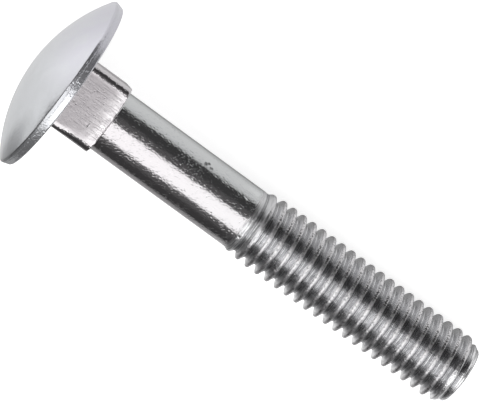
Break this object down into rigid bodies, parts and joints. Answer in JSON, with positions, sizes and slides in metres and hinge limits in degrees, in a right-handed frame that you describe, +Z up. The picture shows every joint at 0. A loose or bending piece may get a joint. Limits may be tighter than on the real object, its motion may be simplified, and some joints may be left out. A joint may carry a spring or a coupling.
{
  "type": "carriage bolt",
  "caption": "Carriage bolt: low domed head, square neck, plain shank and right-hand metric thread, lying on its side.",
  "frame": {"origin": "on the surface that the bolt lies on, below the middle of its outline, midway between the head and the end of the thread", "axes": "+Z up; +X from the head towards the end of the thread, along the bolt's axis seen from above; the axis itself dips towards the thread, because the bolt rests on the edge of its head and on its thread"},
  "size_m": [0.0548, 0.02, 0.0199],
  "materials": {
    "zinc_steel": "gloss"
  },
  "bodies": {
    "root": {"carriage_bolt": "zinc_steel"}
  },
  "joints": []
}
